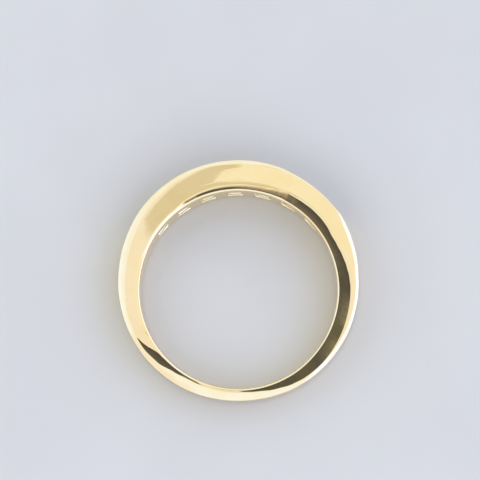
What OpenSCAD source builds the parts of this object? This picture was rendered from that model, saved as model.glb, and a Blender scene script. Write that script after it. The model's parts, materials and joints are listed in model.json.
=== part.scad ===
// Channel set band, a finger ring that lies on its side.
// Z runs along the finger and +Y points to the head, where the stones are.
// The origin is the centre of the finger hole, halfway across the band.

/* [Finger hole] */
// Inner diameter of the finger hole, a US size 6
finger_hole_d = 16.5; // [15:0.1:19]
// Radius of the rounded edge at each mouth of the hole
mouth_round_r = 0.28; // [0.15:0.01:0.4]
// Radial width of the gentle roll from the side face down to that edge
mouth_roll_w = 1.3; // [0.8:0.05:1.6]
// Curve radius of the roll, seen in section
mouth_roll_r = 6; // [4:0.25:10]

/* [Shank] */
// Thickness of the shank on the palm side, opposite the stones
palm_thickness = 1.05; // [0.9:0.05:1.6]
// Width of the shank on the palm side
palm_width = 2.6; // [2:0.1:3.6]
// Radial width of the side face that stays flat on the palm side
palm_side_w = 0.24; // [0.2:0.01:0.4]
// Radial width of the rolled shoulder outside the side face, at the head
head_shoulder_w = 0.18; // [0.05:0.01:0.3]
// Slope at which the shoulder breaks away from the side face
shoulder_break_deg = 10; // [4:1:16]
// Slope that the shoulder has reached at the outside of the palm
shoulder_end_deg = 43; // [30:1:60]

/* [Channel] */
// Number of stones in the row
stone_count = 7; // [3:1:9]
// Width of the gold rail along each side of the row
rail_w = 0.75; // [0.5:0.05:1.2]
// How far each rail reaches in over the edges of the stones
rail_grip = 0.15; // [0.1:0.01:0.2]
// Depth of the tables below the tops of the rails
table_drop = 0.16; // [0.1:0.01:0.3]
// Gold between the finger hole and the point of the middle stone
point_cover = 0.62; // [0.5:0.02:0.9]
// Thickness of the gallery floor under the row
gallery_floor = 0.5; // [0.4:0.05:0.6]
// Clearance between the last stones and the end walls
end_gap = 0.05; // [0.03:0.01:0.1]

/* [Windows] */
// Size of each window round the ring, where it opens in the finger hole
window_w = 1.3; // [1:0.05:1.5]
// Size of each window along the finger
window_l = 1.9; // [1.4:0.05:2.2]
// Width of the bright bevel round each window
window_bevel_w = 0.2; // [0.1:0.01:0.3]
// Depth of that bevel
window_bevel_h = 0.25; // [0.15:0.01:0.35]

/* [Stones] */
// Side of each square stone at its girdle
stone_size = 2.9; // [2.6:0.05:3.4]
// Space between two girdles
stone_gap = 0.1; // [0.06:0.01:0.2]
// Clearance between the stones and their groove
seat_gap = 0.03; // [0.02:0.01:0.06]
// Height of the girdle
girdle_h = 0.08; // [0.05:0.01:0.12]

/* [Hidden] */
$fn = 96;
gold = [0.93, 0.77, 0.45];
clear_stone = [0.88, 0.93, 0.97];

// The stone's heights, as shares of its side
crown_h = 0.10 * stone_size;
pavilion_h = 0.53 * stone_size;
stone_h = crown_h + girdle_h + pavilion_h;

// The cut, one row for each kind of facet. A facet repeats on all four sides.
// side: 1 above the girdle, -1 below it
// turn: degrees from the middle of a side
// slope: degrees from the plane of the girdle
// reach, height: a point of the facet, straight out from the stone's middle and
// up or down from the girdle's edge, as shares of the stone's side
CUT = [
    // side, turn, slope, reach, height
    [1, 0, 40, 0.500, 0],
    [1, 0, 20, 0.410, 0.070],
    [1, 45, 25, 0.695, 0],
    [-1, 0, 75, 0.500, 0],
    [-1, -8, 50, 0.420, 0.150],
    [-1, 8, 50, 0.420, 0.150],
    [-1, -14, 40.5, 0, 0.530],
    [-1, 14, 40.5, 0, 0.530],
];
crown_deg = CUT[0][2];

// Radii and widths of the head follow from the stones
finger_r = finger_hole_d / 2;
head_thickness = point_cover + stone_h + table_drop;
slot_w = stone_size - 2 * rail_grip;
head_width = slot_w + 2 * rail_w;

// The outline is one circle, set off towards the head
outline_r = finger_r + (head_thickness + palm_thickness) / 2;
outline_y = (head_thickness - palm_thickness) / 2;

// The crease where the shoulder starts is a second circle inside it
crease_head = finger_r + head_thickness - head_shoulder_w;
crease_palm = finger_r + palm_side_w;
crease_r = (crease_head + crease_palm) / 2;
crease_y = (crease_head - crease_palm) / 2;
palm_shoulder_w = palm_thickness - palm_side_w;
shoulder_r = palm_shoulder_w / (sin(shoulder_end_deg) - sin(shoulder_break_deg));

// Each side face is a plane that leans in towards the palm
head_reach = finger_r + head_thickness;
palm_reach = finger_r + palm_thickness;
taper_deg = atan((head_width - palm_width) / 2 / (head_reach + palm_reach));
side_z = head_width / 2 - head_reach * tan(taper_deg);

// The row of stones runs round the middle of the outline
girdle_r = outline_r - table_drop - crown_h - girdle_h / 2;
stone_pitch = 2 * atan((stone_size + stone_gap) / 2 / (girdle_r - girdle_h / 2));
row_half_deg = stone_count * stone_pitch / 2 + end_gap / girdle_r * 180 / PI;
seat_depth = 0.24 * stone_size;

function stone_turn(i) = ((stone_count + 1) / 2 - i) * stone_pitch;

// Distance from the outline's centre to the finger hole, along a stone's axis
function hole_reach(turn) =
    sqrt(pow(finger_r, 2) - pow(outline_y * sin(turn), 2)) - outline_y * cos(turn);

// Distance from the outline's centre to the ends of a flat edge at radius r
function edge_end_r(r, edge_w) = sqrt(pow(r, 2) + pow(edge_w / 2, 2));

// Puts its children on a side face, with z = 0 in the face. up is 1 or -1.
module on_side(up) {
    mirror([0, 0, up > 0 ? 0 : 1])
        translate([0, 0, side_z])
            rotate([taper_deg, 0, 0])
                children();
}

// Puts its children on the axis of stone i, at a distance from the outline's
// centre, with z pointing out of the ring
module on_stone_axis(i, reach) {
    translate([0, outline_y, 0])
        rotate([0, 0, stone_turn(i)])
            translate([0, reach, 0])
                rotate([-90, 0, 0])
                    children();
}

// A thick disc below a side face, whose rim rolls off beyond the crease
module side_disc() {
    depth = 2 * head_width;
    arc_x = crease_r - shoulder_r * sin(shoulder_break_deg);
    arc_y = -shoulder_r * cos(shoulder_break_deg);
    translate([0, crease_y, 0])
        rotate_extrude()
            union() {
                translate([0, -depth])
                    square([crease_r, depth]);
                intersection() {
                    translate([arc_x, arc_y])
                        circle(r = shoulder_r);
                    translate([crease_r, arc_y])
                        square([shoulder_r, -arc_y]);
                }
                translate([0, -depth])
                    square([arc_x + shoulder_r, depth + arc_y]);
            }
}

// What the roll and the rounded edge take away at a mouth of the finger hole
module mouth_cut() {
    roll_break_deg = 1;
    round_end_deg = 65;
    roll_end = finger_r + mouth_roll_w;
    roll_x = roll_end + mouth_roll_r * sin(roll_break_deg);
    roll_y = -mouth_roll_r * cos(roll_break_deg);
    // The edge's arc touches the roll's from inside
    round_x = finger_r + mouth_round_r * sin(round_end_deg);
    reach = mouth_roll_r - mouth_round_r;
    round_y = roll_y + sqrt(pow(reach, 2) - pow(roll_x - round_x, 2));
    touch_x = roll_x - (roll_x - round_x) * mouth_roll_r / reach;
    rotate_extrude()
        difference() {
            translate([0, round_y])
                square([roll_end, mouth_round_r - round_y]);
            translate([round_x, round_y])
                circle(r = mouth_round_r);
            intersection() {
                translate([roll_x, roll_y])
                    circle(r = mouth_roll_r);
                translate([touch_x, round_y])
                    square([roll_end, mouth_round_r - round_y]);
            }
        }
}

// The plain tapered ring, before the head is cut out
module blank() {
    difference() {
        intersection() {
            translate([0, outline_y, -head_width])
                cylinder(r = outline_r, h = 2 * head_width);
            on_side(1)
                side_disc();
            on_side(-1)
                side_disc();
        }
        translate([0, 0, -head_width])
            cylinder(r = finger_r, h = 2 * head_width);
        on_side(1)
            mouth_cut();
        on_side(-1)
            mouth_cut();
    }
}

// Sweeps a profile of radius and height along the row of stones
module along_row() {
    translate([0, outline_y, 0])
        rotate([0, 0, 90 - row_half_deg])
            rotate_extrude(angle = 2 * row_half_deg)
                children();
}

// The open channel between the rails, down to the gallery floor
module channel() {
    difference() {
        along_row()
            translate([girdle_r - stone_h, -slot_w / 2])
                square([2 * stone_h, slot_w]);
        translate([0, 0, -head_width])
            cylinder(r = finger_r + gallery_floor, h = 2 * head_width);
    }
}

// The groove in both rails that holds the edges of the stones
module groove() {
    half_w = stone_size / 2 + seat_gap;
    low_r = girdle_r - girdle_h / 2 - seat_gap;
    foot_r = low_r - seat_depth;
    top_r = edge_end_r(girdle_r + girdle_h / 2, stone_size) + seat_gap;
    lip_r = top_r + (rail_grip + seat_gap) * tan(crown_deg);
    along_row()
        polygon([
            [foot_r, -slot_w / 2], [low_r, -half_w], [top_r, -half_w], [lip_r, -slot_w / 2],
            [lip_r, slot_w / 2], [top_r, half_w], [low_r, half_w], [foot_r, slot_w / 2]
        ]);
}

// A block with sloping sides, in both directions, that opens out below z = 0
module flared_block(w, l, slope, low, high) {
    reach = w + l;
    intersection() {
        rotate([90, 0, 0])
            linear_extrude(height = reach, center = true)
                polygon([
                    [-w / 2 + slope * low, low], [w / 2 - slope * low, low],
                    [w / 2 - slope * high, high], [-w / 2 + slope * high, high]
                ]);
        rotate([90, 0, 90])
            linear_extrude(height = reach, center = true)
                polygon([
                    [-l / 2 + slope * low, low], [l / 2 - slope * low, low],
                    [l / 2 - slope * high, high], [-l / 2 + slope * high, high]
                ]);
    }
}

// The window under stone i, with the bright bevel round its mouth
module window(i) {
    inset = 2 * window_bevel_w;
    on_stone_axis(i, hole_reach(stone_turn(i))) {
        flared_block(
            window_w, window_l, window_bevel_w / window_bevel_h, -window_bevel_h, window_bevel_h
        );
        flared_block(
            window_w - inset, window_l - inset, 0, -window_bevel_h, 2 * gallery_floor
        );
    }
}

// Shank, rails and gallery, which are one casting
module band() {
    color(gold)
        difference() {
            blank();
            channel();
            groove();
            for (i = [1:stone_count])
                window(i);
        }
}

// The half of space below one facet of the crown, or above one of the pavilion
module below_facet(side, turn, slope, reach, height) {
    block = 4 * stone_size;
    mirror([0, 0, side > 0 ? 0 : 1])
        rotate([0, 0, turn])
            translate([reach * stone_size, 0, girdle_h / 2 + height * stone_size])
                rotate([0, slope, 0])
                    translate([0, 0, -block / 2])
                        cube(block, center = true);
}

// One square cut stone, with z = 0 in the middle of its girdle
module cut_stone() {
    intersection() {
        translate([-stone_size / 2, -stone_size / 2, -girdle_h / 2 - pavilion_h])
            cube([stone_size, stone_size, stone_h]);
        intersection_for (facet = CUT)
            intersection_for (quarter = [0:90:270])
                below_facet(facet[0], facet[1] + quarter, facet[2], facet[3], facet[4]);
    }
}

module stone(i) {
    color(clear_stone)
        on_stone_axis(i, girdle_r)
            cut_stone();
}

band();
for (i = [1:stone_count])
    stone(i);
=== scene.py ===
import json
from math import asin, atan, cos, hypot, pi, radians, sin, sqrt, tan, tanh

import bmesh
import bpy
from mathutils import Matrix, Vector


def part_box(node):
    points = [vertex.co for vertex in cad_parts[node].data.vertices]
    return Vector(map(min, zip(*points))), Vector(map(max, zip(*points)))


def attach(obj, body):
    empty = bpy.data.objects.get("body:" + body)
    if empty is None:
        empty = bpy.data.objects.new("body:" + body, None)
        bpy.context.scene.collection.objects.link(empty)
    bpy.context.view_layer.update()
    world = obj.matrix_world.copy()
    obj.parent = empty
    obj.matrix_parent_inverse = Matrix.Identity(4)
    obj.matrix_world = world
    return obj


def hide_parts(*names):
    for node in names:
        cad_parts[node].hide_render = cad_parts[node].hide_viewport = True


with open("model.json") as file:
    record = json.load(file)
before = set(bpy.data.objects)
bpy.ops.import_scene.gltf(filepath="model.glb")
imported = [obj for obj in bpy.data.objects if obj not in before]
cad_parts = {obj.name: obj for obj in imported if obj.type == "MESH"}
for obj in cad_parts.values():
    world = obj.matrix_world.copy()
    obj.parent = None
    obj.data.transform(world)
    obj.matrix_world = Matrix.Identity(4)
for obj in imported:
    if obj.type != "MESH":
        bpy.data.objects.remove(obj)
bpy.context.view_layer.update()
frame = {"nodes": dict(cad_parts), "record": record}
mm = 0.001
print("frame loaded:", len(frame["nodes"]), "CAD nodes")


def spread(start, end, steps):  # start included, end left out
    return [start + (end - start) * s / steps for s in range(steps)]


def easeStep(t):
    t = min(max(t, 0), 1)
    return t * t * (3 - 2 * t)


def roundRing(table, angle):  # smooth value between the degrees of a small table
    here = angle * 180 / pi % 360
    stops = sorted(table)
    before = max([s for s in stops if s <= here], default=stops[-1] - 360)
    after = min([s for s in stops if s > here], default=stops[0] + 360)
    share = easeStep((here - before) / (after - before))
    return table[before % 360] + (table[after % 360] - table[before % 360]) * share


# the gold band
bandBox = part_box("band")
boreMount = next(m for m in frame["record"]["mounts"] if m["kind"] == "bore")
restMount = next(m for m in frame["record"]["mounts"] if m["name"] == "side_rest")
holeRadius = boreMount["dims"]["r_mm"]
keptInside = 0.002  # the mesh stays this far inside the CAD box
outlineRadius = (bandBox[1].y - bandBox[0].y) / 2 / mm - keptInside
outlineShift = (bandBox[1].y + bandBox[0].y) / 2 / mm
sideTilt = asin(-restMount["axis"][1])
sideZ = -restMount["pos_m"][2] / mm - restMount["pos_m"][1] / mm * tan(sideTilt)

band = {
    # the row of stones
    "stoneCount": 7, "stoneSize": 2.9, "stoneGap": 0.1, "endGap": 0.05, "crownSlope": 40,
    "girdleRadius": 9.6285, "girdleHeight": 0.08,
    "seatGap": 0.03, "seatDepth": 0.696, "railGrip": 0.15, "floorThickness": 0.5,
    # windows under the stones, cut in steps: (share of the depth, share of the width)
    "windowWide": 1.3, "windowLong": 1.9, "bevelWide": 0.2, "bevelDeep": 0.25,
    "windowSteps": [(0.28, 0.15), (0.56, 0.75), (1, 1)],
    # the rest of the section, by degrees round the ring from the middle of the head, clockwise
    # from above: slopes in degrees, and how far from the hole or the crease each of them fades out
    "outlineLift": {  # the hand-finished outline leaves its circle by this much
        0: -0.055, 22: -0.04, 32: -0.09, 42: -0.065, 52: -0.015, 61: 0.09, 66: 0.07, 76: 0.035,
        84: 0.025, 90: 0, 96: 0.03, 105: 0.065, 120: 0.125, 145: 0.13, 155: 0.11, 165: 0.055,
        175: 0.01, 180: 0, 190: 0, 205: 0.03, 230: 0.03, 240: 0.01, 265: -0.03, 280: -0.06,
        290: -0.05, 310: 0, 330: -0.015, 345: -0.05,
    },
    "mouthRound": {
        0: 0.25, 12: 0.23, 28: 0.23, 45: 0.22, 75: 0.22, 100: 0.25, 120: 0.23, 135: 0.22, 150: 0.25,
        180: 0.26, 200: 0.22, 210: 0.2, 225: 0.21, 245: 0.18, 285: 0.18, 300: 0.24, 320: 0.24,
        335: 0.27,
    },
    "rollSlope": {
        0: 10, 150: 9, 172: 9, 184: 6, 198: 6, 206: 0.5, 236: 0.5, 250: 4, 276: 4, 290: 20, 322: 20,
        334: 10,
    },
    "rollWidth": {
        0: 0.54, 18: 0.54, 26: 0.72, 33: 0.96, 42: 1, 50: 1.06, 57: 1.07, 62: 1.05, 67: 0.95,
        74: 1.02, 80: 1.15, 86: 1.28, 92: 1.4, 98: 1.47, 107: 1.48, 122: 1.52, 152: 1.54, 165: 1.45,
        170: 1.24, 182: 0.6, 205: 0.5, 216: 0.41, 240: 0.41, 276: 0.5, 292: 0.28, 320: 0.3,
        328: 0.42, 340: 0.51,
    },
    "easeSlope": {0: 1.6, 10: 1.9, 20: 2.2, 30: 2, 38: 0, 316: 0, 336: 1, 350: 1.4},
    "easeWidth": {0: 0.76, 12: 0.8, 27: 0.9, 336: 1.1, 350: 0.95},
    "lensSlope": {0: 0, 196: 0, 202: 5.5, 238: 5.5, 246: 0},
    "lensWidth": {
        0: 0.08, 198: 0.1, 206: 0.25, 212: 0.33, 218: 0.52, 224: 0.76, 230: 0.82, 234: 0.6,
        237: 0.38, 240: 0.2, 245: 0.08,
    },
    "outerSlope": {0: 0.4, 50: 0, 280: 0, 305: 0.9, 330: 0.7},
    "outerWidth": {0: 0.4, 300: 0.8, 312: 0.7, 322: 0.6, 332: 0.5},
    "creaseInset": {
        0: 0.36, 10: 0.36, 18: 0.25, 30: 0.2, 54: 0.16, 61: 0.28, 70: 0.36, 80: 0.33, 100: 0.29,
        120: 0.29, 138: 0.29, 148: 0.3, 154: 0.36, 162: 0.48, 172: 0.64, 180: 0.7, 200: 0.8,
        210: 0.84, 217: 0.75, 227: 0.49, 237: 0.36, 244: 0.37, 254: 0.45, 266: 0.58, 280: 0.65,
        297: 0.64, 307: 0.52, 318: 0.47, 330: 0.38, 345: 0.29,
    },
    "creaseSoft": {
        0: 0.004, 54: 0.1, 62: 0.1, 120: 0.12, 140: 0.03, 175: 0.04, 210: 0.03, 230: 0.004,
    },
    "shoulderStart": {
        0: 11, 20: 11, 30: 8, 54: 7, 64: 10, 90: 9, 140: 10, 180: 11, 215: 14, 240: 15, 260: 11,
    },
    "shoulderEnd": {
        0: 20, 28: 12, 56: 12, 66: 24, 90: 27, 150: 30, 175: 33, 250: 32, 290: 28, 330: 22,
    },
    "cornerRound": 0.05,
    # the caster's and polisher's hand
    "edgeBevel": 0.03, "bevelSegments": 2, "bevelFrom": 30,  # on edges sharper than 30 degrees
    "mouthWear": 0.6,  # a share of the wear on the outer edges
    # rows of the mesh along the section: heights beside a window, then how many
    "boreRows": (0, 0.25, 0.5, 0.75), "ledgeRows": (1.1, 0.92), "floorRows": (0.5, 0.25),
    "overWindow": 5, "mouthRows": 10, "faceRows": 34, "creaseRows": 5, "shoulderRows": 8,
    "cornerRows": 7, "wallRows": 4, "backRows": 8,
    "faceCrowding": 0.06,  # closer together in the middle of the face
    "creaseRow": 0.008, "creaseClear": (0.03, 0.02),  # rows beside the crease, and its least room
    # columns round the ring: beside a window, on its bevel, across it and along the shank
    "besideColumns": 4, "bevelColumns": 2, "windowColumns": 10, "shankColumns": 196,
}

halfCount = (band["stoneCount"] - 1) / 2
halfGirdle = band["girdleHeight"] / 2
stoneSpace = band["stoneSize"] + band["stoneGap"]
stonePitch = 2 * atan(stoneSpace / 2 / (band["girdleRadius"] - halfGirdle))
rowHalf = band["stoneCount"] * stonePitch / 2 + band["endGap"] / band["girdleRadius"]
slotHalf = band["stoneSize"] / 2 - band["railGrip"]


def outlineAt(angle):
    return outlineRadius + roundRing(band["outlineLift"], angle)


def reach(angle, radius):  # from the outline's middle to a circle round the finger hole's middle
    return sqrt(radius**2 - (outlineShift * sin(angle)) ** 2) - outlineShift * cos(angle)


def boreDistance(angle, rho):
    return hypot(rho * sin(angle), outlineShift + rho * cos(angle)) - holeRadius


def ringPoint(angle, rho, z):
    return rho * sin(angle), outlineShift + rho * cos(angle), z


def sideSlope(angle):  # slope of the side face, by the distance from the outline's middle
    def look(name):
        return roundRing(band[name], angle)

    def lean(name):
        return tan(radians(look(name)))

    outline = outlineAt(angle)
    creaseRho = outline - look("creaseInset")
    soft, rollWidth, easeWidth = look("creaseSoft"), look("rollWidth"), look("easeWidth")
    lensWidth, outerWidth = look("lensWidth"), look("outerWidth")
    roll, ease = lean("rollSlope"), lean("easeSlope")
    lens, outer = lean("lensSlope"), lean("outerSlope")
    start, end = lean("shoulderStart"), lean("shoulderEnd")

    def slope(rho):  # positive falls towards the outline
        d = boreDistance(angle, rho)
        past = rho - creaseRho
        inside = min(past, 0)
        face = -roll * sqrt(max(1 - d / rollWidth, 0)) - ease * max(1 - d / easeWidth, 0)
        face += lens * sqrt(max(1 + inside / lensWidth, 0))
        face += outer * max(1 + inside / outerWidth, 0)
        shoulder = start + (end - start) * max(past, 0) / (outline - creaseRho)
        return face + (shoulder - face) * easeStep(past / soft + 0.5)

    return slope, outline, creaseRho, soft


# points of a section are (distance from the outline's middle, height, wear)
def halfSection(angle):  # from the bore's middle to the outer wall
    mouthRound = roundRing(band["mouthRound"], angle)
    corner = band["cornerRound"]
    slope, outline, creaseRho, soft = sideSlope(angle)

    # where the round at the mouth meets the face, found in a few rounds
    leastLean = 0.01
    meetD = mouthRound
    for _ in range(8):
        meetLean = atan(max(-slope(reach(angle, holeRadius + meetD)), leastLean))
        meetD = mouthRound * (1 - sin(meetLean))
    meetRho = reach(angle, holeRadius + meetD)

    # where the corner round meets the shoulder, with the slope found about there
    cornerLean = atan(slope(outline - corner * 0.7))
    cornerRho = outline - corner * (1 - sin(cornerLean))

    # rows across the face, closer together at the crease
    innerRoom, outerRoom = band["creaseClear"]
    softStart = max(creaseRho - soft / 2, meetRho + innerRoom)
    softEnd = min(creaseRho + soft / 2, cornerRho - outerRoom)
    row, crowding = band["creaseRow"], band["faceCrowding"]
    inner = softStart - 2 * row - meetRho
    across = [meetRho + inner * (t + crowding * sin(2 * pi * t))
              for t in spread(0, 1, band["faceRows"])]
    across += [softStart - 2 * row, softStart - row]
    across += spread(softStart, softEnd, band["creaseRows"]) + [softEnd]
    across += spread(softEnd + row, cornerRho, band["shoulderRows"]) + [cornerRho]

    # heights by adding up the slope, the highest one on the ring's side plane
    falls = [0]
    for near, far in zip(across, across[1:]):
        middle = slope((near + far) / 2)
        falls.append(falls[-1] + (slope(near) + 4 * middle + slope(far)) / 6 * (far - near))
    crown = min(falls)
    heights = [sideZ + (outlineShift + rho * cos(angle)) * tan(sideTilt) - (fall - crown)
               for rho, fall in zip(across, falls)]

    points = []
    roundZ = heights[0] - mouthRound * cos(meetLean)
    cornerZ = heights[-1] - corner * cos(cornerLean)
    windowHalf = band["windowLong"] / 2
    for z in [*band["boreRows"], *spread(windowHalf, roundZ, band["overWindow"])]:
        points.append((reach(angle, holeRadius), z, 0))
    for lean in spread(pi / 2, meetLean, band["mouthRows"]):
        rho = reach(angle, holeRadius + mouthRound * (1 - sin(lean)))
        points.append((rho, roundZ + mouthRound * cos(lean), band["mouthWear"] * sin(2 * lean)))
    points += [(rho, z, 0) for rho, z in zip(across, heights)][:-1]
    for lean in spread(cornerLean, pi / 2, band["cornerRows"]):
        points.append((outline - corner * (1 - sin(lean)), cornerZ + corner * cos(lean), 1))
    return points, cornerZ


def outerWall(angle, cornerZ, edgeZ, edgeWear):
    outline = outlineAt(angle)
    wall = [(outline, z, 0) for z in spread(cornerZ, edgeZ, band["wallRows"])]
    return wall + [(outline, edgeZ, edgeWear)]


def channelSection(angle):  # down the slot wall, round the groove, across the floor and back up
    halfStone = band["stoneSize"] / 2
    clear = band["seatGap"]
    grooveZ = halfStone + clear
    top = hypot(band["girdleRadius"] + halfGirdle, halfStone) + clear
    lip = top + (band["railGrip"] + clear) * tan(radians(band["crownSlope"]))
    low = band["girdleRadius"] - halfGirdle - clear
    foot = low - band["seatDepth"]
    floor = reach(angle, holeRadius + band["floorThickness"])
    windowHalf = band["windowLong"] / 2 - band["bevelWide"]
    down = [(lip, slotHalf), (top, grooveZ), (low, grooveZ),
            (foot, slotHalf), ((foot + floor) / 2, slotHalf)]
    across = [(floor, z) for z in (slotHalf, *band["ledgeRows"], windowHalf, *band["floorRows"])]
    half = down + across
    return half + [(floor, 0)] + [(rho, -z) for rho, z in reversed(half)]


def ringColumns():  # angles of all columns, then each window's middle with the columns at its edges
    angles, windows = [], []
    mouthX = band["windowWide"] / 2
    innerX = mouthX - band["bevelWide"]
    beside = band["besideColumns"]
    for number in range(band["stoneCount"]):
        middle = (number - halfCount) * stonePitch
        mouthHalf = asin(mouthX / reach(middle, holeRadius))
        innerHalf = asin(innerX / reach(middle, holeRadius + band["floorThickness"]))
        left = -rowHalf if number == 0 else middle - stonePitch / 2
        right = rowHalf if number == band["stoneCount"] - 1 else middle + stonePitch / 2
        stops = [middle - mouthHalf, middle - innerHalf, middle + innerHalf, middle + mouthHalf]
        angles += spread(left, stops[0], beside)
        columns = [len(angles)]
        counts = (band["bevelColumns"], band["windowColumns"], band["bevelColumns"])
        for start, end, steps in zip(stops, stops[1:], counts):
            angles += spread(start, end, steps)
            columns.append(len(angles))
        angles += spread(stops[-1], right, beside)
        windows.append((middle, columns))
    rowEnd = len(angles)
    angles += spread(rowHalf, 2 * pi - rowHalf, band["shankColumns"])
    return angles, windows, rowEnd


def makeBand():
    angles, windows, rowEnd = ringColumns()
    count = len(angles)
    mouthX, mouthZ = band["windowWide"] / 2, band["windowLong"] / 2
    sections = [halfSection(a) for a in angles]
    wallShare = slotHalf / sections[rowEnd][1]
    bm = bmesh.new()
    wear = bm.verts.layers.float.new("wear")

    # one loop round the section for each angle, from rail edge to rail edge by way of the bore
    loops = []
    for j, angle in enumerate(angles):
        points, cornerZ = sections[j]
        if j <= rowEnd:  # a rail edge beside the stones, only a row of the wall on the shank
            half = points + outerWall(angle, cornerZ, slotHalf, 1)
        else:
            half = points + outerWall(angle, cornerZ, cornerZ * wallShare, 0)
        up = [bm.verts.new(ringPoint(angle, rho, z)) for rho, z, _ in half]
        down = [bm.verts.new(ringPoint(angle, rho, -z)) for rho, z, _ in half[1:]]
        loops.append(down[::-1] + up)
        for vert, (_, _, worn) in zip(up + down, half + half[1:]):
            vert[wear] = worn
    middleK = len(half) - 1
    windowK = len(band["boreRows"])  # rows from the bore's middle to the window's edge

    def inWindow(j, k):
        inColumns = any(columns[0] <= j < columns[3] for _, columns in windows)
        return inColumns and middleK - windowK <= k < middleK + windowK

    for j in range(count):
        near, far = loops[j], loops[(j + 1) % count]
        for k in range(len(near) - 1):
            if not inWindow(j, k):
                bm.faces.new((near[k], near[k + 1], far[k + 1], far[k]))

    # outer wall of the shank between the rail edges
    wallSteps = band["backRows"]
    strips = {}
    for j in [0] + list(range(rowEnd, count)):
        first, last = loops[j][-1], loops[j][0]
        between = [bm.verts.new(first.co.lerp(last.co, s / wallSteps)) for s in range(1, wallSteps)]
        strips[j] = [first] + between + [last]
    for j in range(rowEnd, count):
        near, far = strips[j], strips[(j + 1) % count]
        for k in range(wallSteps):
            bm.faces.new((near[k], near[k + 1], far[k + 1], far[k]))

    # the channel
    channel = []
    for j in range(rowEnd + 1):
        made = [bm.verts.new(ringPoint(angles[j], rho, z)) for rho, z in channelSection(angles[j])]
        channel.append([loops[j][-1]] + made + [loops[j][0]])
    floorMiddle = len(channel[0]) // 2
    innerK = len(band["floorRows"]) + 1  # rows from the floor's middle to the window's edge
    for j in range(rowEnd):
        near, far = channel[j], channel[j + 1]
        for k in range(len(near) - 1):
            inFloor = floorMiddle - innerK <= k < floorMiddle + innerK
            if not (inFloor and any(c[1] <= j < c[2] for _, c in windows)):
                bm.faces.new((near[k], near[k + 1], far[k + 1], far[k])).material_index = 1
    for j in (0, rowEnd):  # end walls
        bm.faces.new(channel[j] + strips[j][1:-1][::-1]).material_index = 1

    # bevel and straight wall of each window
    for middle, (c0, c1, c2, c3) in windows:
        outward = Vector((sin(middle), cos(middle), 0))
        sideways = Vector((cos(middle), -sin(middle), 0))
        start = Vector((0, outlineShift, 0)) + outward * reach(middle, holeRadius)
        frames = []
        for deepShare, wideShare in band["windowSteps"]:
            x, z = mouthX - band["bevelWide"] * wideShare, mouthZ - band["bevelWide"] * wideShare
            floor = start + outward * band["bevelDeep"] * deepShare
            frames.append([bm.verts.new(floor + sideways * x * dx + Vector((0, 0, z * dz)))
                           for dx, dz in ((-1, -1), (1, -1), (1, 1), (-1, 1))])
        lowK, highK = middleK - windowK, middleK + windowK
        mouth = [
            [loops[j][lowK] for j in range(c0, c3 + 1)],
            [loops[c3][k] for k in range(lowK, highK + 1)],
            [loops[j][highK] for j in range(c3, c0 - 1, -1)],
            [loops[c0][k] for k in range(highK, lowK - 1, -1)],
        ]
        lowF, highF = floorMiddle + innerK, floorMiddle - innerK  # the channel runs from +z to -z
        inner = [
            [channel[j][lowF] for j in range(c1, c2 + 1)],
            [channel[c2][k] for k in range(lowF, highF - 1, -1)],
            [channel[j][highF] for j in range(c2, c1 - 1, -1)],
            [channel[c1][k] for k in range(highF, lowF + 1)],
        ]
        for side in range(4):
            after = (side + 1) % 4
            bm.faces.new(mouth[side] + [frames[0][after], frames[0][side]])
            for near, far in zip(frames, frames[1:]):
                bm.faces.new((near[side], near[after], far[after], far[side]))
            bm.faces.new(inner[side] + [frames[-1][after], frames[-1][side]]).material_index = 1

    bmesh.ops.delete(bm, geom=[v for v in bm.verts if not v.link_faces], context="VERTS")
    bmesh.ops.recalc_face_normals(bm, faces=bm.faces)
    for face in bm.faces:
        face.smooth = True
    mesh = bpy.data.meshes.new("band")
    bm.to_mesh(mesh)
    openEdges = sum(not e.is_manifold for e in bm.edges)
    print("band faces:", len(bm.faces), "open edges:", openEdges)
    print("band volume:", round(bm.calc_volume(), 2))
    bm.free()
    return mesh


def finishBand(mesh):  # rounds the edges in millimetres, then scales to metres
    piece = bpy.data.objects.new("goldBand", mesh)
    bpy.context.scene.collection.objects.link(piece)
    rounding = piece.modifiers.new("edges", "BEVEL")
    rounding.width = band["edgeBevel"]
    rounding.segments = band["bevelSegments"]
    rounding.limit_method = "ANGLE"
    rounding.angle_limit = radians(band["bevelFrom"])
    rounding.use_clamp_overlap = False
    rounding.harden_normals = True
    bpy.context.view_layer.update()
    rounded = piece.evaluated_get(bpy.context.evaluated_depsgraph_get())
    done = bpy.data.meshes.new_from_object(rounded)
    piece.modifiers.clear()
    piece.data = done
    done.transform(Matrix.Scale(mm, 4))
    return piece


bandPiece = finishBand(makeBand())
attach(bandPiece, "root")
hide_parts("band")
print("band made:", len(bandPiece.data.polygons), "faces")


# nodes are added and linked by these
def plug(tree, node, inputs):
    for name, value in inputs.items():
        socket = node.inputs[name]
        if isinstance(value, bpy.types.NodeSocket):
            tree.links.new(value, socket)
        elif socket.type == "RGBA":
            socket.default_value = (*value, 1)
        else:
            socket.default_value = value


def addNode(tree, kind, inputs, **settings):
    node = tree.nodes.new("ShaderNode" + kind)
    for name, value in settings.items():
        setattr(node, name, value)
    plug(tree, node, inputs)
    return node


def maths(tree, operation, *values):
    return addNode(tree, "Math", dict(enumerate(values)), operation=operation).outputs[0]


def lengthOf(tree, x, y):
    squares = [maths(tree, "MULTIPLY", part, part) for part in (x, y)]
    return maths(tree, "SQRT", maths(tree, "ADD", *squares))


def rise(tree, value, start, end):  # from 0 at the start to 1 at the end, either way round
    inputs = {"Value": value, "From Min": start, "From Max": end}
    return addNode(tree, "MapRange", inputs, interpolation_type="SMOOTHSTEP").outputs[0]


def mixColor(tree, share, first, second):  # a Mix node's colour sockets are its 7th and 8th
    return addNode(tree, "Mix", {0: share, 6: first, 7: second}, data_type="RGBA").outputs[2]


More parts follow.
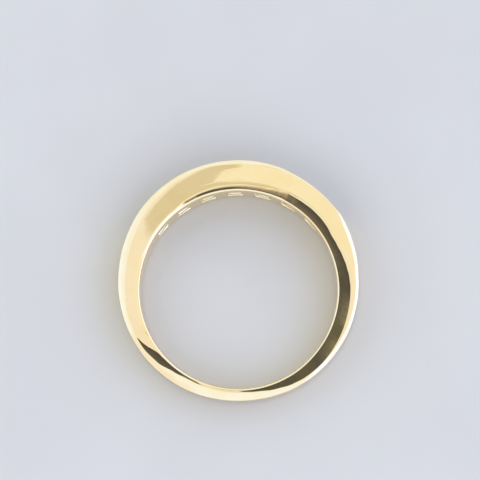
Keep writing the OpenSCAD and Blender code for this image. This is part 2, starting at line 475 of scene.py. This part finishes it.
def newGroup(name, inputs, outputs):
    tree = bpy.data.node_groups.new(name, "ShaderNodeTree")
    number = "NodeSocketFloat"
    for label, value in inputs.items():
        socket = tree.interface.new_socket(label, in_out="INPUT", socket_type=number)
        socket.default_value = value
    for label in outputs:
        tree.interface.new_socket(label, in_out="OUTPUT", socket_type=number)
    return tree, tree.nodes.new("NodeGroupInput").outputs, tree.nodes.new("NodeGroupOutput")


def inMillimetres(tree):  # the surface point from the outline's middle: x, y and z
    point = addNode(tree, "TexCoord", {}).outputs["Object"]
    scaled = addNode(tree, "VectorMath", {0: point, "Scale": 1 / mm}, operation="SCALE").outputs[0]
    moved = {0: scaled, 1: (0, -outlineShift, 0)}
    return addNode(tree, "VectorMath", moved, operation="ADD").outputs[0]


def noiseOf(tree, size, dimensions, **others):  # a pattern of this size in millimetres
    inputs = {"Vector": inMillimetres(tree), "Scale": maths(tree, "DIVIDE", 1, size), **others}
    return addNode(tree, "TexNoise", inputs, noise_dimensions=dimensions).outputs[0]


def makeSoftClouds():
    inputs = {"Size": 2, "From": 0.4, "To": 0.7, "Place": 0}
    tree, given, out = newGroup("softClouds", inputs, ["Mask"])
    noise = noiseOf(tree, given["Size"], "4D", W=given["Place"], Detail=3, Roughness=0.55)
    plug(tree, out, {"Mask": rise(tree, noise, given["From"], given["To"])})
    return tree


def makeFineLines():  # hair scratches: long where the pattern is slow, thin where it is quick
    inputs = {"Around": 5, "Across": 0.3, "Thin": 0.04, "Place": 0}
    tree, given, out = newGroup("fineLines", inputs, ["Mask"])
    parts = addNode(tree, "SeparateXYZ", {0: inMillimetres(tree)}).outputs
    flat = addNode(tree, "CombineXYZ", {"X": parts[0], "Y": parts[1]}).outputs[0]
    away = addNode(tree, "VectorMath", {0: flat}, operation="LENGTH").outputs["Value"]
    around = maths(tree, "MULTIPLY", given["Around"], outlineRadius)
    turned = addNode(tree, "VectorMath", {0: flat}, operation="NORMALIZE").outputs[0]
    turned = addNode(tree, "VectorMath", {0: turned, "Scale": around}, operation="SCALE").outputs[0]
    across = maths(tree, "ADD", maths(tree, "MULTIPLY", away, given["Across"]), given["Place"])
    upright = addNode(tree, "CombineXYZ", {"Z": across}).outputs[0]
    where = addNode(tree, "VectorMath", {0: turned, 1: upright}, operation="ADD").outputs[0]
    depth = maths(tree, "MULTIPLY", parts[2], given["Across"])
    inputs = {"Vector": where, "W": depth, "Scale": 1, "Detail": 1}
    noise = addNode(tree, "TexNoise", inputs, noise_dimensions="4D").outputs[0]
    offMiddle = maths(tree, "ABSOLUTE", maths(tree, "SUBTRACT", noise, 0.5))
    plug(tree, out, {"Mask": rise(tree, offMiddle, given["Thin"], 0)})
    return tree


def makeWornEdges():  # the wear kept on the mesh, broken up along the edge
    tree, given, out = newGroup("wornEdges", {"Size": 0.8, "From": 0.3, "To": 0.6}, ["Mask"])
    wear = addNode(tree, "Attribute", {}, attribute_name="wear").outputs["Fac"]
    broken = maths(tree, "MULTIPLY", wear, noiseOf(tree, given["Size"], "3D", Detail=2))
    plug(tree, out, {"Mask": rise(tree, broken, given["From"], given["To"])})
    return tree


def makeFineGrain():
    tree, given, out = newGroup("fineGrain", {"Size": 0.1}, ["Height"])
    plug(tree, out, {"Height": noiseOf(tree, given["Size"], "3D", Detail=4)})
    return tree


softClouds, fineLines = makeSoftClouds(), makeFineLines()
wornEdges, fineGrain = makeWornEdges(), makeFineGrain()


def effect(tree, group, inputs):
    return addNode(tree, "Group", inputs, node_tree=group).outputs[0]


def newMaterial(name):
    material = bpy.data.materials.new(name)
    material.use_nodes = True
    return material, material.node_tree, material.node_tree.nodes["Principled BSDF"]


def bump(tree, height, deep):
    return addNode(tree, "Bump", {"Height": height, "Distance": deep * mm}).outputs[0]


# gold: lengths in millimetres, lines to a millimetre, and pairs say where a mask starts and is full
polished = {
    "color": (0.965, 0.80, 0.46), "warm": (0.955, 0.775, 0.42), "rubbed": (0.98, 0.85, 0.56),
    "roughness": 0.008, "cloudHaze": 0.004, "scratchHaze": 0.05, "edgeHaze": 0.05,
    "cloudSize": 2.2, "clouds": (0.45, 0.65), "wornSize": 0.8, "worn": (0.3, 0.6),
    "polishLines": 7, "polishAround": 0.12, "polishThin": 0.03, "polishShare": 0.25,
    "scratchLong": 3, "scratchWide": 0.2, "scratchThin": 0.03, "scratchDeep": 0.00002,
    "patchSize": 3.52, "patches": (0.48, 0.6),
    "ripple": 0.00008, "rippleSize": 3, "ripples": (0.1, 0.9),
}
inTheChannel = {
    **polished, "color": (0.95, 0.76, 0.41), "roughness": 0.12, "cloudHaze": 0.12,
    "scratchHaze": 0.2, "polishLines": 12, "grainSize": 0.06, "grainDeep": 0.004,
}


def patchy(tree, group, size, limits, **others):  # a shared mask in patches of this size
    start, full = limits
    return effect(tree, group, {"Size": size, "From": start, "To": full, **others})


def makeGold(name, finish):
    material, tree, shader = newMaterial(name)
    clouds = patchy(tree, softClouds, finish["cloudSize"], finish["clouds"])
    patches = patchy(tree, softClouds, finish["patchSize"], finish["patches"], Place=7)
    edges = patchy(tree, wornEdges, finish["wornSize"], finish["worn"])
    polishing = {"Around": finish["polishAround"], "Across": finish["polishLines"],
                 "Thin": finish["polishThin"]}
    polish = maths(tree, "MULTIPLY", effect(tree, fineLines, polishing), finish["polishShare"])
    scratching = {"Around": 1 / finish["scratchLong"], "Across": 1 / finish["scratchWide"],
                  "Thin": finish["scratchThin"], "Place": 3}
    scratches = maths(tree, "MULTIPLY", effect(tree, fineLines, scratching), patches)
    lines = maths(tree, "MAXIMUM", scratches, polish)

    color = mixColor(tree, clouds, finish["color"], finish["warm"])
    color = mixColor(tree, edges, color, finish["rubbed"])
    rough = maths(tree, "MULTIPLY_ADD", clouds, finish["cloudHaze"], finish["roughness"])
    rough = maths(tree, "MULTIPLY_ADD", lines, finish["scratchHaze"], rough)
    rough = maths(tree, "MULTIPLY_ADD", edges, finish["edgeHaze"], rough)
    ripple = patchy(tree, softClouds, finish["rippleSize"], finish["ripples"], Place=11)
    height = maths(tree, "MULTIPLY", ripple, finish["ripple"])
    height = maths(tree, "MULTIPLY_ADD", lines, -finish["scratchDeep"], height)
    if "grainSize" in finish:
        grain = effect(tree, fineGrain, {"Size": finish["grainSize"]})
        height = maths(tree, "MULTIPLY_ADD", grain, finish["grainDeep"], height)
    normal = bump(tree, height, 1)
    plug(tree, shader, {"Base Color": color, "Metallic": 1, "Roughness": rough, "Normal": normal})
    return material


bandPiece.data.materials.clear()
bandPiece.data.materials.append(makeGold("polishedGold", polished))
bandPiece.data.materials.append(makeGold("channelGold", inTheChannel))

stone = {
    "clear": (1, 1, 1), "cool": (0.95, 0.97, 1), "bend": 2.417,
    "girdleRough": 0.35, "girdleEdge": (1.05, 0.95),  # shares of the girdle's half height
    "filmRough": 0.03, "filmSize": 1.4, "film": (0.5, 0.7),
}


def makeStone():  # the girdle is found by its height in the stone, whichever stone it is
    material, tree, shader = newMaterial("whiteStone")
    x, y, _ = addNode(tree, "SeparateXYZ", {0: inMillimetres(tree)}).outputs
    angle = maths(tree, "ARCTAN2", x, y)
    number = maths(tree, "ROUND", maths(tree, "DIVIDE", angle, stonePitch))
    angle = maths(tree, "MULTIPLY_ADD", number, -stonePitch, angle)
    away = lengthOf(tree, x, y)
    upStone = maths(tree, "MULTIPLY", away, maths(tree, "COSINE", angle))
    fromGirdle = maths(tree, "ABSOLUTE", maths(tree, "SUBTRACT", upStone, band["girdleRadius"]))
    girdle = rise(tree, fromGirdle, *[halfGirdle * share for share in stone["girdleEdge"]])
    film = patchy(tree, softClouds, stone["filmSize"], stone["film"], Place=5)
    rough = maths(tree, "MULTIPLY", girdle, stone["girdleRough"])
    rough = maths(tree, "MULTIPLY_ADD", film, stone["filmRough"], rough)
    color = mixColor(tree, film, stone["clear"], stone["cool"])
    plug(tree, shader, {"Base Color": color, "Roughness": rough})
    plug(tree, shader, {"Transmission Weight": 1, "IOR": stone["bend"]})
    return material


stoneMaterial = makeStone()
for name, node in frame["nodes"].items():
    if name.startswith("stone"):
        node.data.materials.clear()
        node.data.materials.append(stoneMaterial)
print("gold and stone finished")

# the table meets the ring's lower side plane and levels off further away
table = {
    "radius": 150, "level": 30, "drop": 0.004,
    "rows": 40, "turns": 72, "widening": 1.5,  # rows lie further apart outwards
    "color": (0.71, 0.66, 0.52), "shade": (0.69, 0.64, 0.505),
    "shadeSize": 14, "shades": (0.35, 0.65),
    "grainSize": 0.35, "grainDeep": 0.01, "roughness": 0.75,
}


def makeTable():
    bm = bmesh.new()
    rows = [[bm.verts.new((0, 0, -sideZ - table["drop"]))]]
    for s in range(1, table["rows"] + 1):
        radius = table["radius"] * (s / table["rows"]) ** table["widening"]
        row = []
        for turn in spread(0, 2 * pi, table["turns"]):
            x, y = radius * cos(turn), radius * sin(turn)
            fall = table["level"] * tanh(y / table["level"]) * tan(sideTilt)
            row.append(bm.verts.new((x, y, -sideZ - fall - table["drop"])))
        rows.append(row)
    for near, far in zip(rows, rows[1:]):
        for k, corner in enumerate(far):
            after = far[(k + 1) % len(far)]
            bm.faces.new((near[0], corner, after) if len(near) == 1 else
                         (near[k], corner, after, near[(k + 1) % len(near)]))
    mesh = bpy.data.meshes.new("tableTop")
    bm.to_mesh(mesh)
    bm.free()
    mesh.transform(Matrix.Scale(mm, 4))
    material, tree, shader = newMaterial("paleTable")
    shade = patchy(tree, softClouds, table["shadeSize"], table["shades"])
    grain = effect(tree, fineGrain, {"Size": table["grainSize"]})
    color = mixColor(tree, shade, table["color"], table["shade"])
    normal = bump(tree, grain, table["grainDeep"])
    plug(tree, shader, {"Base Color": color, "Roughness": table["roughness"], "Normal": normal})
    mesh.materials.append(material)
    tableTop = bpy.data.objects.new("tableTop", mesh)
    bpy.context.scene.collection.objects.link(tableTop)


makeTable()
print("table made")

# the light: a pale tent all round, which the gold mirrors. Its places are x, y and z of a
# direction, and a pair says where something starts to show and where it is full
tent = {
    "color": (1, 1, 1), "backdrop": (0.8, 0.8, 0.8),
    "parts": [  # laid on in turn, each where all its measures are met
        {"color": (0.975, 0.97, 1.08), "x": (-0.045, -0.058)},
        {"color": (1, 1, 1.12), "far": (0.3, 0.4)},
        {"color": (1.01, 1.1, 1.42), "x": (-0.2, -0.42), "y": (-0.55, -0.1)},
        {"color": (1, 1.09, 1.3), "y": (0.28, 0.36)},
        {"color": (1.01, 1.14, 1.5), "y": (-0.3, -0.55), "x": (-0.52, -0.35)},
        {"color": (1.03, 1.2, 1.7), "x": (-0.5, -0.85), "y": (-0.35, -0.2)},
        {"color": (1.15, 1.35, 2.25), "x": (0.34, 0.43), "z": (0.2, 0.4)},
        {"color": (1.15, 1.35, 2.25), "towards": 318, "half": 9, "soft": 8, "far": (0.15, 0.22),
         "z": (0.2, 0.4)},
    ],
    "horizon": (0.5, 0.38, 0.3), "horizonZ": (0.22, 0.02),
}
panel = {  # a darker strip over the head: its sides are (degrees across the side, start, full)
    "color": (0.757, 0.73, 0.675),
    "sides": [(55, -0.0038, 0.0014), (-42.2, -0.0664, -0.0667), (121.5, 0.02, 0.035),
              (121.5, 0.094, 0.083), (0, -0.0305, -0.035)],
    "discs": [((-0.034, 0.04), (0.015, 0.011)), ((-0.049, 0.044), (0.011, 0.006))],
}
flag = {  # a dark ring overhead, open on the right; towards, half and soft are degrees round it
    "middle": (-0.03, 0.04), "inner": 0.12, "outer": 0.34, "soft": 0.012,
    "softBelow": 0.05, "below": (-0.8, -0.97),  # its edge is softer at the bottom
    "towards": 184, "half": 113, "openSoft": 8, "color": (0.098, 0.1, 0.108),
    "streak": (0.12, 0.12, 0.118), "streakScale": 24, "streaks": (0.45, 0.7), "streakShare": 0.6,
    "halos": [  # paler parts round it
        {"color": (0.83, 0.81, 0.76), "towards": 276, "half": 22, "soft": 5,
         "far": (0.045, 0.11), "until": (0.36, 0.34)},
        {"color": (0.8, 0.76, 0.68), "towards": 250, "half": 7, "soft": 4,
         "far": (0.014, 0.024), "until": (0.36, 0.34)},
    ],
    "tones": [  # its own tones
        {"color": (0.066, 0.072, 0.1), "towards": 225, "half": 45, "soft": 15, "far": (0.2, 0.1)},
        {"color": (0.2, 0.18, 0.19), "towards": 226, "half": 24, "soft": 12, "far": (0.18, 0.32)},
        {"color": (0.41, 0.37, 0.37), "towards": 253, "half": 10, "soft": 8,
         "far": (0.15, 0.19), "until": (0.32, 0.27)},
        {"color": (0.66, 0.58, 0.51), "towards": 262, "half": 14, "soft": 6,
         "far": (0.08, 0.12), "until": (0.23, 0.17)},
        {"color": (0.25, 0.25, 0.23), "towards": 160, "half": 12, "soft": 12, "far": (0.32, 0.12)},
        {"color": (0.135, 0.14, 0.13), "towards": 158, "half": 4, "soft": 3.5},
        {"color": (0.13, 0.118, 0.115), "towards": 126, "half": 6, "soft": 5.5},
    ],
}


def makeTent():
    world = bpy.data.worlds.new("softTent")
    bpy.context.scene.world = world
    world.use_nodes = True
    tree = world.node_tree
    direction = addNode(tree, "TexCoord", {}).outputs["Generated"]
    x, y, z = addNode(tree, "SeparateXYZ", {0: direction}).outputs

    def away(middle):  # x and y from a middle, and how far
        offX, offY = maths(tree, "SUBTRACT", x, middle[0]), maths(tree, "SUBTRACT", y, middle[1])
        return offX, offY, lengthOf(tree, offX, offY)

    def along(a, b, degrees):
        scaled = maths(tree, "MULTIPLY", a, cos(radians(degrees)))
        return maths(tree, "MULTIPLY_ADD", b, sin(radians(degrees)), scaled)

    def towards(degrees, half, soft):  # 1 within half of a direction seen from the flag's middle
        turned = maths(tree, "DIVIDE", along(offX, offY, degrees), far)
        return rise(tree, turned, cos(radians(half + soft)), cos(radians(half - soft)))

    def blot(light, part):  # lays a part over the light where all its measures are met
        share = 1
        for name, measure in measures.items():
            if name in part:
                share = maths(tree, "MULTIPLY", share, rise(tree, measure, *part[name]))
        if "towards" in part:
            facing = towards(part["towards"], part["half"], part["soft"])
            share = maths(tree, "MULTIPLY", share, facing)
        return mixColor(tree, share, light, part["color"])

    offX, offY, far = away(flag["middle"])
    measures = {"x": x, "y": y, "z": z, "far": far, "until": far}
    light = tent["color"]
    for part in tent["parts"]:
        light = blot(light, part)

    share = 1
    for degrees, start, full in panel["sides"]:
        share = maths(tree, "MULTIPLY", share, rise(tree, along(x, y, degrees), start, full))
    light = mixColor(tree, share, light, panel["color"])
    for middle, limit in panel["discs"]:
        light = mixColor(tree, rise(tree, away(middle)[2], *limit), light, panel["color"])

    below = rise(tree, maths(tree, "DIVIDE", offY, far), *flag["below"])
    soft = maths(tree, "MULTIPLY_ADD", below, flag["softBelow"], flag["soft"])
    innerEnd = maths(tree, "ADD", soft, flag["inner"])
    within = rise(tree, far, flag["outer"] + 2 * flag["soft"], flag["outer"])
    for part in flag["halos"]:
        light = blot(light, part)
    dark = maths(tree, "MULTIPLY", rise(tree, far, flag["inner"], innerEnd), within)
    dark = maths(tree, "MULTIPLY", dark, towards(flag["towards"], flag["half"], flag["openSoft"]))
    tone = flag["color"]
    for part in flag["tones"]:
        tone = blot(tone, part)
    turn = maths(tree, "ARCTAN2", offY, offX)
    where = addNode(tree, "CombineXYZ", {"X": turn, "Y": far}).outputs[0]
    inputs = {"Vector": where, "Scale": flag["streakScale"], "Detail": 3}
    noise = addNode(tree, "TexNoise", inputs, noise_dimensions="2D").outputs[0]
    streaks = maths(tree, "MULTIPLY", rise(tree, noise, *flag["streaks"]), flag["streakShare"])
    tone = mixColor(tree, streaks, tone, flag["streak"])
    light = mixColor(tree, dark, light, tone)

    light = mixColor(tree, rise(tree, z, *tent["horizonZ"]), light, tent["horizon"])
    seen = addNode(tree, "LightPath", {}).outputs["Is Camera Ray"]
    light = mixColor(tree, seen, light, tent["backdrop"])
    plug(tree, tree.nodes["Background"], {"Color": light})


makeTent()
print("light made")

# the camera looks down the finger hole; lean and aim are right and up in the picture
view = {
    "distance": 300, "lens": 267.3, "sensor": 36, "lean": (0.038, -0.11), "aim": (0.085, 4.32),
    "turn": 2.1,  # degrees, as the ring lies in the picture
    "clip": (0.01, 10),
}


def pictureToRing(x, y):
    turn = radians(view["turn"])
    return x * cos(turn) + y * sin(turn), -x * sin(turn) + y * cos(turn)


def makeCamera():
    leanX, leanY = pictureToRing(*view["lean"])
    back = Vector((leanX, leanY, sqrt(1 - leanX**2 - leanY**2)))
    upX, upY = pictureToRing(0, 1)
    right = Vector((upX, upY, 0)).cross(back).normalized()
    up = back.cross(right)
    aimX, aimY = view["aim"]
    place = (back * view["distance"] + right * aimX + up * aimY) * mm
    cameraData = bpy.data.cameras.new("camera")
    cameraData.lens = view["lens"]
    cameraData.sensor_width = view["sensor"]
    cameraData.clip_start, cameraData.clip_end = view["clip"]
    camera = bpy.data.objects.new("camera", cameraData)
    bpy.context.scene.collection.objects.link(camera)
    turned = Matrix((right, up, back)).transposed().to_4x4()
    camera.matrix_world = Matrix.Translation(place) @ turned
    bpy.context.scene.camera = camera


makeCamera()
bpy.context.scene.view_settings.view_transform = "Standard"
print("camera set")
